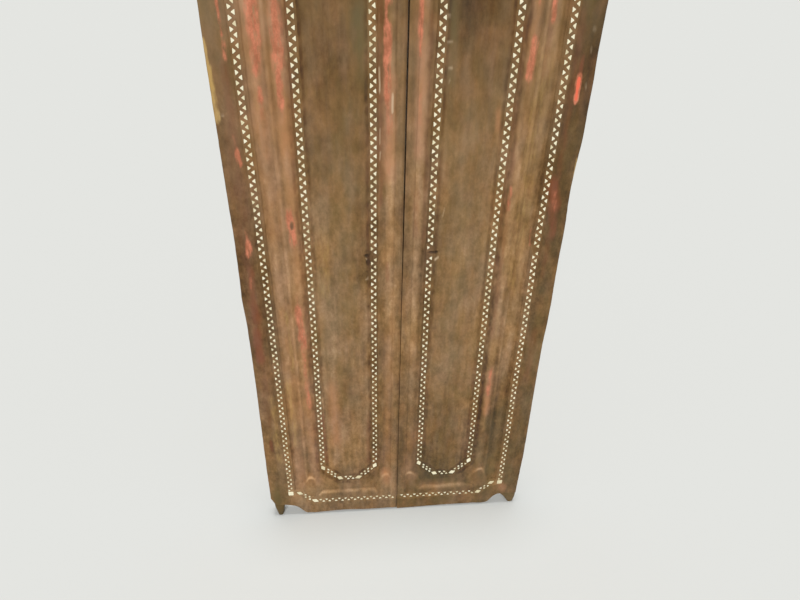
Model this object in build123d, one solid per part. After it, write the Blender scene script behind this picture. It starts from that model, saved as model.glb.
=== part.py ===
from build123d import *
import math
import os

# Carved pair of door leaves with shell inlay, each leaf cut from one plank.
# X runs across the pair, +Y goes into the doorway, Z is up from the tips of the foot pintles.
# Sizes are in millimetres. "Across" is measured from a leaf's outer edge towards the seam,
# "height" from its foot edge, and "depth" from its front face into the wood.

# The two planks
leaf_width = 399.6
leaf_height = 1900.0
leaf_thickness = 38.0
seam_gap = 0.8
edge_round = 3.0
row_drift = 4.0  # both carved layouts lie this far to the left of a true mirror pair

# Corner notches and the pivot pintles that stand in them
notch_height = 44.0
notch_flat = 55.0
notch_toe = 102.0
notch_bend_shares = (0.57, 0.61)
pintle_inset = 18.0
pintle_radius = 9.0
pintle_root_radius = 16.0
pintle_drop = 8.0  # reach of the tip past the foot edge
pintle_straight = 30.0
pintle_facets = 8
pintle_bury = 12.0

# Shell pieces and the channels that they lie in
shell_base = 11.5
shell_point = 7.6
shell_thickness = 2.4
shell_pitch = 20.3
corner_pitch = 15.0  # closer spacing of the short rows at the corners
shell_line_shares = (0.25, 0.75)  # where the two lines of a row stand within a step
row_width = 13.6
channel_margin = 4.0
corner_square = 16.0
rhomb_length = 24.0
rhomb_width = 15.5
corner_clearance = 2.0
lost_shells = {  # pieces that have fallen out, as the step up a row and the line within it
    "left_panel_inner": [(36, 0)],
    "right_panel_inner": [(36, 0), (36, 1)],
    "right_panel_outer": [(17, 1)],
    "right_border_side": [(42, 0)],
}

# Border row: up the outer edge, stepped over the notch, then along the foot to the seam
border_inset = 60.0
border_foot = 55.0
border_step = 96.0
border_shelf = 29.0
border_seam_margin = 9.0
border_depth = 3.0

# Panel row: two uprights joined by sloped corners and a short foot
panel_setback = 111.0  # border row to the outer upright
panel_seam_inset = 69.1  # inner upright to the seam edge
panel_slope_share = 0.32  # width that each sloped corner takes of the panel row
panel_foot = 149.5
panel_depth = 8.0
panel_channel_depth = 10.0

# Sunk moulding between border and panel, with its reeds and cusped foot rail
moulding_land = 5.0
moulding_depth = 5.0
seam_strip = 24.0
reed_setbacks = (33.0, 57.0, 79.0)  # border row to the middle of each outer reed
reed_widths = (22.0, 12.0, 26.0)
seam_reed_width = 18.0
reed_rise = 4.0
reed_bury = 1.0
lobe_setback = 71.0
lobe_seam_inset = 35.0
lobe_width = 52.0
lobe_spring = 122.0
lobe_peak = 170.0
lobe_bulge_shares = (0.66, 0.6)
rail_top = 101.0

overrun = 40.0  # how far cutting shapes reach past the faces that they cut

pair_half = seam_gap / 2 + leaf_width
panel_span = leaf_width - border_inset - panel_setback - panel_seam_inset
channel_width = row_width + 2 * channel_margin
sides = {"left": -1, "right": 1}
front = Plane(origin=(0, -leaf_thickness / 2, pintle_drop), x_dir=(1, 0, 0), z_dir=(0, -1, 0))


def spot(side, across, height, at_head=False):
    """Point in the front view of a leaf, with heights taken from the head edge when asked."""
    return (side * (pair_half - across), leaf_height - height if at_head else height)


def sink(outline, depth):
    """Cutter that takes an outline down from the front face."""
    return extrude(front.offset(overrun) * outline, amount=-(depth + overrun))


def raise_from(outline, depth, rise):
    """Solid that stands on a floor at some depth."""
    return extrude(front.offset(-depth) * outline, amount=rise)


def border_corners(side):
    """Bends of the border row at the foot, from the outer upright to the seam."""
    upright = border_inset + side * row_drift
    slope_top = upright + border_shelf
    slope_foot = slope_top + border_step - border_foot
    return [(upright, border_step), (slope_top, border_step), (slope_foot, border_foot)]


def panel_corners(side):
    """Bends of the panel row at the foot, from the outer upright to the one by the seam."""
    outer = border_inset + side * row_drift + panel_setback
    inner = outer + panel_span
    slope = panel_span * panel_slope_share
    corner = panel_foot + slope
    return [(outer, corner), (outer + slope, panel_foot), (inner - slope, panel_foot), (inner, corner)]


def ring_outline(side, foot_corners):
    """Closed outline through the foot bends and the same bends at the head."""
    foot = [spot(side, across, height) for across, height in foot_corners]
    head = [spot(side, across, height, True) for across, height in reversed(foot_corners)]
    return make_face(Polyline(*foot, *head, close=True))


def border_outline(side):
    """Area that the border row encloses, carried past the seam edge."""
    return ring_outline(side, border_corners(side) + [(leaf_width + 2 * overrun, border_foot)])


def grown(outline, amount):
    """Outline moved outwards with its corners kept sharp."""
    return offset(outline, amount=amount, kind=Kind.INTERSECTION)


def leaf_blank(side):
    """Plank with a notch at both outer corners and softened outer uprights."""
    curves = []
    bend_across = notch_flat + (notch_toe - notch_flat) * notch_bend_shares[0]
    bend_height = notch_height * notch_bend_shares[1]
    for at_head in (False, True):
        shoulder = spot(side, 0, notch_height, at_head)
        crown = spot(side, notch_flat, notch_height, at_head)
        bend = spot(side, bend_across, bend_height, at_head)
        toe = spot(side, notch_toe, 0, at_head)
        seam = spot(side, leaf_width, 0, at_head)
        curves += [Line(shoulder, crown), ThreePointArc(crown, bend, toe), Line(toe, seam)]
    curves.append(Line(spot(side, 0, notch_height), spot(side, 0, notch_height, True)))
    curves.append(Line(spot(side, leaf_width, 0), spot(side, leaf_width, 0, True)))
    blank = extrude(front * make_face(curves), amount=-leaf_thickness)
    outer_edges = blank.edges().filter_by(Axis.Z).sort_by(Axis.X)
    return fillet(outer_edges[:2] if side < 0 else outer_edges[-2:], edge_round)


def pintle(side, at_head):
    """Pivot pin in a notch: an eight-sided hewn root that tapers to a round bearing length."""
    pin = extrude(Plane.XY * Circle(pintle_radius), amount=pintle_straight)
    waist = RegularPolygon(pintle_radius, pintle_facets, major_radius=False)
    root = RegularPolygon(pintle_root_radius, pintle_facets, major_radius=False)
    root_height = pintle_drop + notch_height + pintle_bury
    solid = pin + loft([Plane.XY.offset(pintle_straight) * waist, Plane.XY.offset(root_height) * root])
    middle = spot(side, pintle_inset, 0)[0]
    if at_head:
        return Pos(middle, 0, leaf_height + 2 * pintle_drop) * Rot(180, 0, 0) * solid
    return Pos(middle, 0, 0) * solid


def lobe(side, across, at_head):
    """Pointed arch of the foot rail, standing where a run of reeds ends."""
    half = lobe_width / 2
    bulge = half * lobe_bulge_shares[0]
    bulge_height = lobe_spring + (lobe_peak - lobe_spring) * lobe_bulge_shares[1]
    peak = spot(side, across, lobe_peak, at_head)
    feet = [spot(side, across + way * half, border_foot, at_head) for way in (-1, 1)]
    curves = [Line(*feet)]
    for way, foot in zip((-1, 1), feet):
        spring = spot(side, across + way * half, lobe_spring, at_head)
        middle = spot(side, across + way * bulge, bulge_height, at_head)
        curves += [Line(foot, spring), ThreePointArc(spring, middle, peak)]
    return make_face(curves)


def moulding_outline(side):
    """Sunk field of the moulding, which the cusped rails leave free."""
    area = grown(border_outline(side), -(channel_width / 2 + moulding_land))
    stile = [(0, 0), (leaf_width - seam_strip, 0)]
    area = area & ring_outline(side, stile)
    lobe_places = (border_inset + side * row_drift + lobe_setback, leaf_width - lobe_seam_inset)
    for at_head in (False, True):
        low, high = [spot(side, across, border_foot, at_head) for across in lobe_places]
        top_low, top_high = [spot(side, across, rail_top, at_head) for across in lobe_places]
        area -= make_face(Polyline(low, high, top_high, top_low, close=True))
        for across in lobe_places:
            area -= lobe(side, across, at_head)
    return area


def reed(side, across, width):
    """Half-round upright moulding that runs into the rails at both ends."""
    middle = spot(side, across, 0)[0]
    ground = moulding_depth - leaf_thickness / 2
    left, right = (middle - width / 2, ground), (middle + width / 2, ground)
    crest = (middle, ground - reed_rise)
    root = [(x, y + reed_bury) for x, y in (left, right)]
    curves = [ThreePointArc(left, crest, right), Line(left, root[0]), Line(*root), Line(root[1], right)]
    foot = border_step + channel_width / 2
    section = Plane.XY.offset(pintle_drop + foot) * make_face(curves)
    return extrude(section, amount=leaf_height - 2 * foot)


def leaf(side):
    """One carved plank with its pintles."""
    upright = border_inset + side * row_drift
    solid = leaf_blank(side) - sink(moulding_outline(side), moulding_depth)
    for setback, width in zip(reed_setbacks, reed_widths):
        solid += reed(side, upright + setback, width)
    solid += reed(side, leaf_width - seam_strip - seam_reed_width / 2, seam_reed_width)
    border = border_outline(side)
    solid -= sink(grown(border, channel_width / 2) - grown(border, -channel_width / 2), border_depth)
    panel = ring_outline(side, panel_corners(side))
    solid -= sink(grown(panel, channel_width / 2), panel_channel_depth)
    field = grown(panel, -channel_width / 2)
    solid += raise_from(field, panel_channel_depth, panel_channel_depth - panel_depth)
    for at_head in (False, True):
        solid += pintle(side, at_head)
    return solid


def shell_piece(corners, floor_depth):
    """Flat slip of shell lying on a channel floor."""
    return raise_from(make_face(Polyline(*corners, close=True)), floor_depth, shell_thickness)


def shell_row(start, end, floor_depth, start_room, end_room, pitch):
    """Two facing lines of triangles, staggered by half a step, between two points of a row."""
    length = math.dist(start, end)
    along = [(b - a) / length for a, b in zip(start, end)]
    normal = (-along[1], along[0])
    usable = length - start_room - end_room
    count = round(usable / pitch)
    pieces = []
    for index in range(count):
        for way, line_share in zip((1, -1), shell_line_shares):
            run = start_room + (index + line_share) * usable / count
            base = way * row_width / 2
            point = way * (row_width / 2 - shell_point)
            corners = [(run - shell_base / 2, base), (run + shell_base / 2, base), (run, point)]
            placed = [
                tuple(start[axis] + along[axis] * forth + normal[axis] * off for axis in (0, 1))
                for forth, off in corners
            ]
            pieces.append(shell_piece(placed, floor_depth))
    return pieces


def rhomb(before, bend, after, floor_depth):
    """Long slip of shell set evenly between the two arms that meet at a bend."""
    arms = [[(b - a) / math.dist(bend, end) for a, b in zip(bend, end)] for end in (before, after)]
    tangent = [b - a for a, b in zip(*arms)]
    along = [value / math.hypot(*tangent) for value in tangent]
    normal = (-along[1], along[0])
    reach = [(rhomb_length / 2, 0), (0, rhomb_width / 2), (-rhomb_length / 2, 0), (0, -rhomb_width / 2)]
    corners = [
        tuple(bend[axis] + along[axis] * forth + normal[axis] * off for axis in (0, 1)) for forth, off in reach
    ]
    return shell_piece(corners, floor_depth)


def square(centre, floor_depth):
    """Square slip of shell for a right-angled corner."""
    half = corner_square / 2
    signs = ((-1, -1), (1, -1), (1, 1), (-1, 1))
    return shell_piece([(centre[0] + half * a, centre[1] + half * b) for a, b in signs], floor_depth)


def leaf_shells(side):
    """All shell pieces of one leaf, grouped by the row that they belong to."""
    rhomb_room = rhomb_length / 2 + corner_clearance
    square_room = corner_square / 2 + corner_clearance
    groups = {"border_corner": [], "panel_corner": []}
    for end_name, at_head in (("foot", False), ("head", True)):
        bends = [spot(side, across, height, at_head) for across, height in border_corners(side)]
        seam_end = spot(side, leaf_width - border_seam_margin, border_foot, at_head)
        step_row = shell_row(bends[1], bends[2], border_depth, rhomb_room, rhomb_room, corner_pitch)
        long_row = shell_row(bends[2], seam_end, border_depth, rhomb_room, 0, shell_pitch)
        groups["border_" + end_name] = step_row + long_row
        groups["border_corner"] += [
            square(bends[0], border_depth),
            rhomb(bends[0], bends[1], bends[2], border_depth),
            rhomb(bends[1], bends[2], seam_end, border_depth),
        ]
        bends = [spot(side, across, height, at_head) for across, height in panel_corners(side)]
        rooms = (panel_channel_depth, rhomb_room, rhomb_room, corner_pitch)
        arms = [shell_row(start, end, *rooms) for start, end in zip(bends, bends[1:])]
        groups["panel_" + end_name] = [piece for arm in arms for piece in arm]
        uprights = [spot(side, across, leaf_height / 2) for across, height in panel_corners(side)]
        line = [uprights[0]] + bends + [uprights[3]]
        for before, bend, after in zip(line, line[1:], line[2:]):
            groups["panel_corner"].append(rhomb(before, bend, after, panel_channel_depth))
    uprights = {
        "border_side": (border_corners(side)[0], border_depth, square_room),
        "panel_outer": (panel_corners(side)[0], panel_channel_depth, rhomb_room),
        "panel_inner": (panel_corners(side)[3], panel_channel_depth, rhomb_room),
    }
    for name, (bend, floor_depth, room) in uprights.items():
        foot, head = spot(side, *bend), spot(side, *bend, True)
        groups[name] = shell_row(foot, head, floor_depth, room, room, shell_pitch)
    return groups


def main():
    os.makedirs("parts", exist_ok=True)
    for side_name, side in sides.items():
        export_step(leaf(side), f"parts/{side_name}_leaf.step")
        for row_name, pieces in leaf_shells(side).items():
            lost = lost_shells.get(f"{side_name}_{row_name}", [])
            lines = len(shell_line_shares)
            kept = [piece for place, piece in enumerate(pieces) if divmod(place, lines) not in lost]
            export_step(Compound(kept), f"parts/{side_name}_{row_name}_shells.step")


main()
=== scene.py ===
import bpy
import bmesh
import math
import numpy as np
from mathutils import Matrix, Vector
from mathutils.geometry import delaunay_2d_cdt


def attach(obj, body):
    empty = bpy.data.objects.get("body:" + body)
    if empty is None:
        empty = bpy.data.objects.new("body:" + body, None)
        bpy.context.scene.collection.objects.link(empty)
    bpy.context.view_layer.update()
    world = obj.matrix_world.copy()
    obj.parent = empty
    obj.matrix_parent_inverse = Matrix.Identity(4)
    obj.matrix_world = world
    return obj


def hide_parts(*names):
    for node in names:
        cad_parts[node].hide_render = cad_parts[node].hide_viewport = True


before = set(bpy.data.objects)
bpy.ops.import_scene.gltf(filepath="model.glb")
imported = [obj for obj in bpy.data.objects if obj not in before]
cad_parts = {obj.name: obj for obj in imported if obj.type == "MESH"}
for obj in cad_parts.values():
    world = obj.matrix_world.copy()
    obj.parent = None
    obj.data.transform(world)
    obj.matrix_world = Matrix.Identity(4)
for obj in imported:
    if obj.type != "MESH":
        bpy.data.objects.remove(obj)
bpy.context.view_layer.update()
scene = bpy.context.scene
scene.view_settings.view_transform = "Standard"
mm = 0.001
sides = {"left": -1, "right": 1}
print("frame loaded, nodes:", len(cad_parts))


def addObject(name, data):
    made = bpy.data.objects.new(name, data)
    scene.collection.objects.link(made)
    return made


def addMaterial(name):
    made = bpy.data.materials.new(name)
    made.use_nodes = True
    return made, made.node_tree, made.node_tree.nodes["Principled BSDF"]


def addLayer(mesh, name, kind, field, values):
    layer = mesh.attributes.new(name, kind, "POINT")
    layer.data.foreach_set(field, np.array(values, np.float32).ravel())


def feed(tree, node, inputs):
    # an input that is given another node's output is linked, and any other is set
    for name, value in inputs.items():
        if isinstance(value, bpy.types.NodeSocket):
            tree.links.new(value, node.inputs[name])
        else:
            node.inputs[name].default_value = value


def addNode(tree, kind, inputs, out=0, **settings):
    node = tree.nodes.new(kind)
    for name, value in settings.items():
        setattr(node, name, value)
    feed(tree, node, inputs)
    return node.outputs[out]


def maths(tree, operation, *values, **settings):
    return addNode(tree, "ShaderNodeMath", dict(enumerate(values)), operation=operation, **settings)


def blend(tree, factor, under, over):
    under, over = ((*value, 1) if isinstance(value, tuple) else value for value in (under, over))
    return addNode(tree, "ShaderNodeMix", {0: factor, 6: under, 7: over}, 2, data_type="RGBA")


def spread(tree, value, low, high, toLow=0.0, toHigh=1.0):
    inputs = {"Value": value, "From Min": low, "From Max": high, "To Min": toLow, "To Max": toHigh}
    return addNode(tree, "ShaderNodeMapRange", inputs, "Result", interpolation_type="SMOOTHSTEP")


def noise(tree, scale, stretch, detail, rough):
    coords = addNode(tree, "ShaderNodeTexCoord", {}, "Object")
    mapping = addNode(tree, "ShaderNodeMapping", {"Vector": coords, "Scale": stretch})
    inputs = {"Vector": mapping, "Scale": scale, "Detail": detail, "Roughness": rough}
    return addNode(tree, "ShaderNodeTexNoise", inputs, "Fac")


def mask(tree, name):
    return addNode(tree, "ShaderNodeAttribute", {}, "Fac", attribute_name=name)


def srgb(red, green, blue):
    parts = [value / 255 for value in (red, green, blue)]
    return tuple(p / 12.92 if p <= 0.04045 else ((p + 0.055) / 1.055) ** 2.4 for p in parts)


def ramp(tree, value, tones):
    colour = addNode(tree, "ShaderNodeValToRGB", {"Fac": value}, "Color")
    stops = colour.node.color_ramp.elements
    while len(stops) < len(tones):
        stops.new(0.5)
    for stop, (position, tone) in zip(stops, tones):
        stop.position = position
        stop.color = (*srgb(*tone), 1)
    return colour


# camera, found from the shell rows, which stand upright and keep one pitch
view = {
    "eye": (-0.1321, -1.3145, 1.6865),
    "pitch": 33.148,
    "yaw": 5.613,
    "roll": -1.319,
    "lens": 27.0,
    "sensor": 36.0,
    "clipEnd": 200,
}


def makeCamera(opts):
    pitch, yaw, roll = (math.radians(opts[key]) for key in ("pitch", "yaw", "roll"))
    data = bpy.data.cameras.new("photoCamera")
    data.lens = opts["lens"]
    data.sensor_width = opts["sensor"]
    data.clip_end = opts["clipEnd"]
    camera = addObject("photoCamera", data)
    place = Matrix.Translation(opts["eye"])
    for angle, axis in ((-yaw, "Z"), (math.pi / 2 - pitch, "X"), (-roll, "Z")):
        place = place @ Matrix.Rotation(angle, 4, axis)
    camera.matrix_world = place
    scene.camera = camera


makeCamera(view)
print("camera set")

# studio: pale floor, even sky, one wide soft lamp in front and one overhead
studio = {
    "floorTone": (0.672, 0.680, 0.658),
    "floorRoughness": 0.95,
    "floorSize": 140.0,
    # cooler and slightly lighter patch before the foot, painted light that offsets the warm bounce and the
    # shade in the door's shadow; its middle and its reach across and forwards, in metres
    "coolTone": (0.675, 0.705, 0.695),
    "coolMiddle": -0.08,
    "coolReach": (0.62, 0.45),
    "skyTone": (0.760, 0.775, 0.735),
    "lightTone": (1.0, 0.99, 0.97),
    "skyLight": 0.30,
    # power, spread, height and turn of each lamp
    "lamps": [(1.85, 24.0, 42.0, -8.0), (1.45, 13.0, 90.0, 0.0)],
}


def makeStudio(opts):
    scene.world = bpy.data.worlds.new("evenSky")
    scene.world.use_nodes = True
    tree = scene.world.node_tree
    tree.nodes.clear()
    path = tree.nodes.new("ShaderNodeLightPath").outputs
    looking = path["Is Camera Ray"]
    for name in ("Is Glossy Ray", "Is Transmission Ray"):
        looking = maths(tree, "ADD", looking, path[name], use_clamp=True)
    light = {"Color": (*opts["lightTone"], 1), "Strength": opts["skyLight"]}
    light = addNode(tree, "ShaderNodeBackground", light)
    seen = addNode(tree, "ShaderNodeBackground", {"Color": (*opts["skyTone"], 1)})
    sky = addNode(tree, "ShaderNodeMixShader", {0: looking, 1: light, 2: seen})
    feed(tree, tree.nodes.new("ShaderNodeOutputWorld"), {"Surface": sky})

    for power, width, height, turn in opts["lamps"]:
        lamp = bpy.data.lights.new("softLamp", "SUN")
        lamp.energy = power
        lamp.angle = math.radians(width)
        addObject("softLamp", lamp).rotation_euler = (math.radians(90 - height), 0, math.radians(turn))

    half = opts["floorSize"] / 2
    mesh = bpy.data.meshes.new("paleFloor")
    corners = [(-half, -half, 0), (half, -half, 0), (half, half, 0), (-half, half, 0)]
    mesh.from_pydata(corners, [], [(0, 1, 2, 3)])
    floor = addObject("paleFloor", mesh)
    paper, tree, shader = addMaterial("palePaper")
    # painted light: the floor turns cooler and lighter towards the door's foot
    across, ahead = opts["coolReach"]
    coords = addNode(tree, "ShaderNodeTexCoord", {}, "Object")
    patch = {"Scale": (1 / across, 1 / ahead, 1), "Location": (0, -opts["coolMiddle"] / ahead, 0)}
    patch = {"Vector": addNode(tree, "ShaderNodeMapping", {"Vector": coords, **patch})}
    near = addNode(tree, "ShaderNodeTexGradient", patch, "Fac", gradient_type="SPHERICAL")
    tint = blend(tree, near, opts["floorTone"], opts["coolTone"])
    feed(tree, shader, {"Base Color": tint, "Roughness": opts["floorRoughness"], "Specular IOR Level": 0.0})
    mesh.materials.append(paper)


makeStudio(studio)
print("studio set")

# aged wood: the tones follow a mask painted on the mesh, the grain comes from stretched noise
wood = {
    "tones": [
        (0.0, (50, 34, 18)), (0.25, (96, 70, 41)), (0.5, (132, 101, 66)), (0.75, (165, 129, 91)),
        (1.0, (204, 166, 126)),
    ],
    # scale, stretch, detail and roughness of each noise
    "noises": {
        "grain": (95, (1, 1, 0.07), 6, 0.55),
        "fibre": (430, (1, 1, 0.03), 4, 0.6),
        "blotch": (9, (1, 1, 0.45), 5, 0.55),
        "mottle": (44, (1, 1, 0.7), 8, 0.72),
        "speckle": (150, (1, 1, 0.6), 6, 0.8),
        "fleck": (120, (1, 1, 0.22), 8, 0.7),
        "tint": (26, (1, 1, 0.3), 4, 0.55),
    },
    "shares": {"grain": 0.05, "fibre": 0.06, "blotch": 0.19, "mottle": 0.38, "speckle": 0.33},
    "cleanHeights": (0.9, 1.5, 0.45),
    # stains broken by a noise, from low to high, with the least share left
    "cloudy": {"olive": ("blotch", 0.25, 0.6, 0.45), "blush": ("mottle", 0.3, 0.7, 0.55)},
    # stains torn by the flecks: how far, from, to, and the most cover
    "ragged": {"ruddy": (1.2, 0.1, 0.9, 0.8), "ochre": (2.6, 0.2, 0.9, 0.9), "pale": (1.4, 0.15, 0.9, 0.75)},
    "paintRagged": (4.2, 0.15, 1.0, 0.92),
    "paint": ((172, 104, 73), (222, 136, 104)),
    "vivid": (250, 118, 88),
    "vividFrom": (1.25, 1.5),
    "blush": (184, 132, 97),
    "ruddy": (130, 78, 54),
    "ochre": (192, 158, 100),
    "olive": (104, 91, 58),
    "pale": (212, 186, 152),
    "richness": (0.945, 1.075),
    "roughness": (0.52, 0.72),
    "specular": 0.22,
    "bump": {"Strength": 0.45, "Distance": 0.0012},
    "relief": (0.6, 0.5, 0.2),
}


def makeWood(opts):
    material, tree, shader = addMaterial("agedWood")
    noises = {name: noise(tree, *values) for name, values in opts["noises"].items()}
    place = addNode(tree, "ShaderNodeTexCoord", {}, "Object")
    low, high, least = opts["cleanHeights"]
    dirty = spread(tree, addNode(tree, "ShaderNodeSeparateXYZ", {0: place}, "Z"), low, high, 1.0, least)
    tone = mask(tree, "tone")
    for name, share in opts["shares"].items():
        swing = maths(tree, "MULTIPLY", maths(tree, "SUBTRACT", noises[name], 0.5), share * 2)
        if name in ("mottle", "speckle"):
            swing = maths(tree, "MULTIPLY", swing, dirty)
        tone = maths(tree, "ADD", tone, swing)
    colour = ramp(tree, tone, opts["tones"])
    broken = maths(tree, "SUBTRACT", noises["fleck"], 0.5)

    def ragged(name, share, low, high, most):
        torn = maths(tree, "MULTIPLY_ADD", broken, share, 1.0)
        return spread(tree, maths(tree, "MULTIPLY", mask(tree, name), torn), low, high, 0.0, most)

    for name, (source, low, high, least) in opts["cloudy"].items():
        cover = maths(tree, "MULTIPLY", mask(tree, name), spread(tree, noises[source], low, high, least))
        colour = blend(tree, cover, colour, srgb(*opts[name]))
    for name, values in opts["ragged"].items():
        colour = blend(tree, ragged(name, *values), colour, srgb(*opts[name]))
    richness = spread(tree, noises["tint"], 0.3, 0.7, *opts["richness"])
    colour = addNode(tree, "ShaderNodeHueSaturation", {"Saturation": richness, "Color": colour}, "Color")
    paintTones = [srgb(*tone) for tone in opts["paint"]]
    paintTone = blend(tree, spread(tree, noises["mottle"], 0.35, 0.65), *paintTones)
    vivid = spread(tree, mask(tree, "paint"), *opts["vividFrom"])
    paintTone = blend(tree, vivid, paintTone, srgb(*opts["vivid"]))
    paint = ragged("paint", *opts["paintRagged"])
    colour = blend(tree, paint, colour, paintTone)

    relief = 0.0
    for value, share in zip((noises["grain"], noises["fibre"], paint), opts["relief"]):
        relief = maths(tree, "MULTIPLY_ADD", value, share, relief)
    bump = addNode(tree, "ShaderNodeBump", {**opts["bump"], "Height": relief})
    rough = spread(tree, noises["fibre"], 0.3, 0.7, *opts["roughness"])
    feed(tree, shader, {"Base Color": colour, "Roughness": rough, "Specular IOR Level": opts["specular"]})
    feed(tree, shader, {"Normal": bump})
    return material


agedWood = makeWood(wood)
print("wood finish made")

# one leaf, in millimetres: across runs from the outer edge to the seam, up from the foot edge
plank = {
    "width": 399.6,
    "height": 1900.0,
    "thick": 38.0,
    "half": 400.0,
    "drop": 8.0,
    # foot edge at the outer corner, as across and up: a chipped shoulder on the left, an arch on the right
    "notch": {
        "left": [
            (0, 76), (3.3, 69), (6.6, 58), (11.8, 48.5), (17, 45.5), (33, 43.5), (51, 39.5), (66, 35),
            (79, 25), (90, 12.5), (100, 1.2), (102, 0), (116, -1.5), (135, -2.5), (160, -1.5), (190, 0.4),
            (225, 1.8), (260, 1), (300, -1.2), (400, -1.2),
        ],
        "right": [
            (0, 38.5), (40, 38.5), (55, 38), (62, 37.5), (72, 34), (84, 22), (94, 6), (100, 0.8), (102, 0),
            (150, -0.6), (220, -1.6), (300, -3.5), (360, -5), (400, -5.4),
        ],
    },
    "footTone": {"left": -0.03, "right": 0.04},
    "edgeRoll": 2.4,
    "seamRoll": 0.9,
    "columnStep": 2.7,
    "rowStep": 6.4,
    "fineRowStep": 2.5,
    "fineRows": [(0, 232), (936, 986)],
    "squeeze": 92.0,
    # hollow worn into the outer edge and the seam edge, as height and inset
    "outerWear": {
        "left": [
            (0, -7.8), (90, -7.9), (220, -7.4), (340, -5.6), (440, -4.6), (530, -3.2), (610, -2.8),
            (735, -2.5), (790, -3.6), (842, -6), (895, -4.4), (945, -3.8), (1045, -3.4), (1095, -4.2),
            (1195, -5.1), (1285, -5.9), (1375, -6.7), (1450, -7), (1530, -6.3), (1900, -5),
        ],
        "right": [
            (0, -1), (90, -1.8), (220, -3.8), (340, -2.6), (440, -1.1), (530, 0.1), (675, 0.7), (735, -1.2),
            (790, -1.5), (842, -0.6), (945, 0.5), (1045, 0.2), (1095, 3), (1145, 2.6), (1195, 0.4),
            (1240, -2.9), (1330, -2.6), (1375, -3), (1415, -1.7), (1530, -2.2), (1900, 0),
        ],
    },
    "seamWear": [(0, -0.12), (650, -0.12), (850, 0), (1000, 0.5), (1150, 0.9), (1900, 1)],
    "edgeNoise": [(0.35, 50, 46, 0), (0.3, 50, 13, 1)],
    # how far each hand-cut row strays from a straight line, as height and shift
    "stray": {
        "left": [
            (56, [
                (100, 2), (320, 2.6), (560, 3.4), (720, 2.7), (968, 1.9), (1200, -0.3), (1300, -1.6),
                (1490, -1.8),
            ]),
            (126, [
                (0, -0.2), (22, 0.4), (46, 6.6), (64, 6.6), (96, 0.6), (150, -0.2), (320, 0.2), (560, 1.1),
                (968, 0.75), (1200, 0), (1490, -0.5),
            ]),
            (167, [
                (22, -1.5), (46, 3.4), (64, 3.4), (100, -0.6), (150, -1.5), (320, -1.2), (560, -0.2),
                (1490, 0.2),
            ]),
            (326.5, [(150, 1.5), (320, 2), (560, 1.8), (850, 1.2), (1085, 2), (1300, 2.4), (1490, 1.2)]),
        ],
        "right": [
            (64, [
                (100, -4), (320, -4.3), (560, -2), (850, -0.9), (968, 0.4), (1085, -0.4), (1300, -1.8),
                (1490, -1.7),
            ]),
            (175, [
                (150, -4), (320, -4.4), (560, -3), (850, -2.1), (1200, -2), (1300, -3), (1400, -3.6),
                (1490, -4.6),
            ]),
            (334.5, [
                (150, -3), (320, -3.2), (560, -2.4), (850, -2), (1085, -2.4), (1300, -3), (1400, -3.3),
                (1490, -5),
            ]),
        ],
    },
    # rings of the wall between front and back, as share of the thickness and inset
    "wall": [(0.15, 0.1), (0.35, 0.2), (0.6, 0.2), (0.82, 0.1), (0.94, 0.0), (0.982, 0.7), (1.0, 2.2)],
    "backNoise": [(0.5, 46, 70, 90), (0.5, 90, 300, 91)],
    "hueDrift": [(1, 30, 55, 95), (1, 12, 24, 96)],
}

# first seed of each kind of noise
seeds = {
    "left": {"carve": 11, "stain": 71, "tone": 101, "edge": 151, "wall": 181},
    "right": {"carve": 47, "stain": 83, "tone": 131, "edge": 163, "wall": 193},
}

# the carving, with heights mirrored at the head; a noise is amount, cell across, cell up and step of the seed
carving = {
    "rowInset": {"left": 56.0, "right": 64.0},
    "channelHalf": 10.8,
    "borderStep": 96.0,
    "borderFoot": 55.0,
    "borderShelf": 29.0,
    "borderDepth": 2.1,
    "panelSetback": 111.0,
    "panelSpan": 159.5,
    "panelSlope": 51.04,
    "panelFoot": 149.5,
    "panelDepth": 8.0,
    "panelChannel": 9.2,
    "zoneMargin": 15.8,
    "zoneEnd": 375.6,
    "zoneDepth": 5.0,
    "reeds": [(33.0, 22.0), (57.0, 12.0), (79.0, 26.0)],
    "seamReed": (369.0, 30.0),
    "reedRise": 3.5,
    "reedFoot": 134.0,
    "lobes": {"left": [(127.0, 26, 17), (364.6, 21, 12)], "right": [(135.0, 15, 38), (364.6, 34, 18)]},
    "lobeDrop": 48.0,
    "lobePeak": 170.0,
    "lobeFace": 1.5,
    "railTop": 101.0,
    "railSetback": 84.0,
    "railEnd": 341.0,
    "railCorner": 24.0,
    "softRim": 9.0,
    "railRim": 12.0,
    "landRim": 3.6,
    "panelEdge": 2.6,
    "borderEdge": 2.4,
    # painted highlight on the upper crest of a lobe and of the rail: inset, width, least share, and share of
    # the tip or of a noise
    "lobeHighlight": (4.5, 5.0, 0.14, 1.06),
    "railHighlight": (6.0, 7.0, 0.31, 0.33),
    # height left of a reed, share of a noise, and how deep and how seldom it is chipped
    "reedWear": (0.86, 0.14, 0.35, 0.45),
    "wander": [(0.5, 300, 38, 0), (0.3, 300, 11, 1)],
    "weather": [(0.45, 60, 240, 5), (0.13, 7, 150, 6), (0.16, 12, 20, 7)],
    # darker tone beside the shell rows; round the sunk field's edge it is painted shade
    "fringes": {"border": (0.3, 0.0), "panelOuter": 2.2, "panelInner": 0.6, "field": 1.8},
    # painted shade along the seam edge of each leaf
    "seamShade": {"left": 0.2, "right": 0.0},
    # places where pull fittings were torn out, as across, up, reach across, reach up, depth
    "scars": {
        "left": [(308, 957, 5, 3.6, 2.4), (312, 938, 3.5, 6, 0.6)],
        "right": [(318, 963, 4, 2.8, 4.5), (330, 962, 8, 2.4, 2.6)],
    },
}

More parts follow.
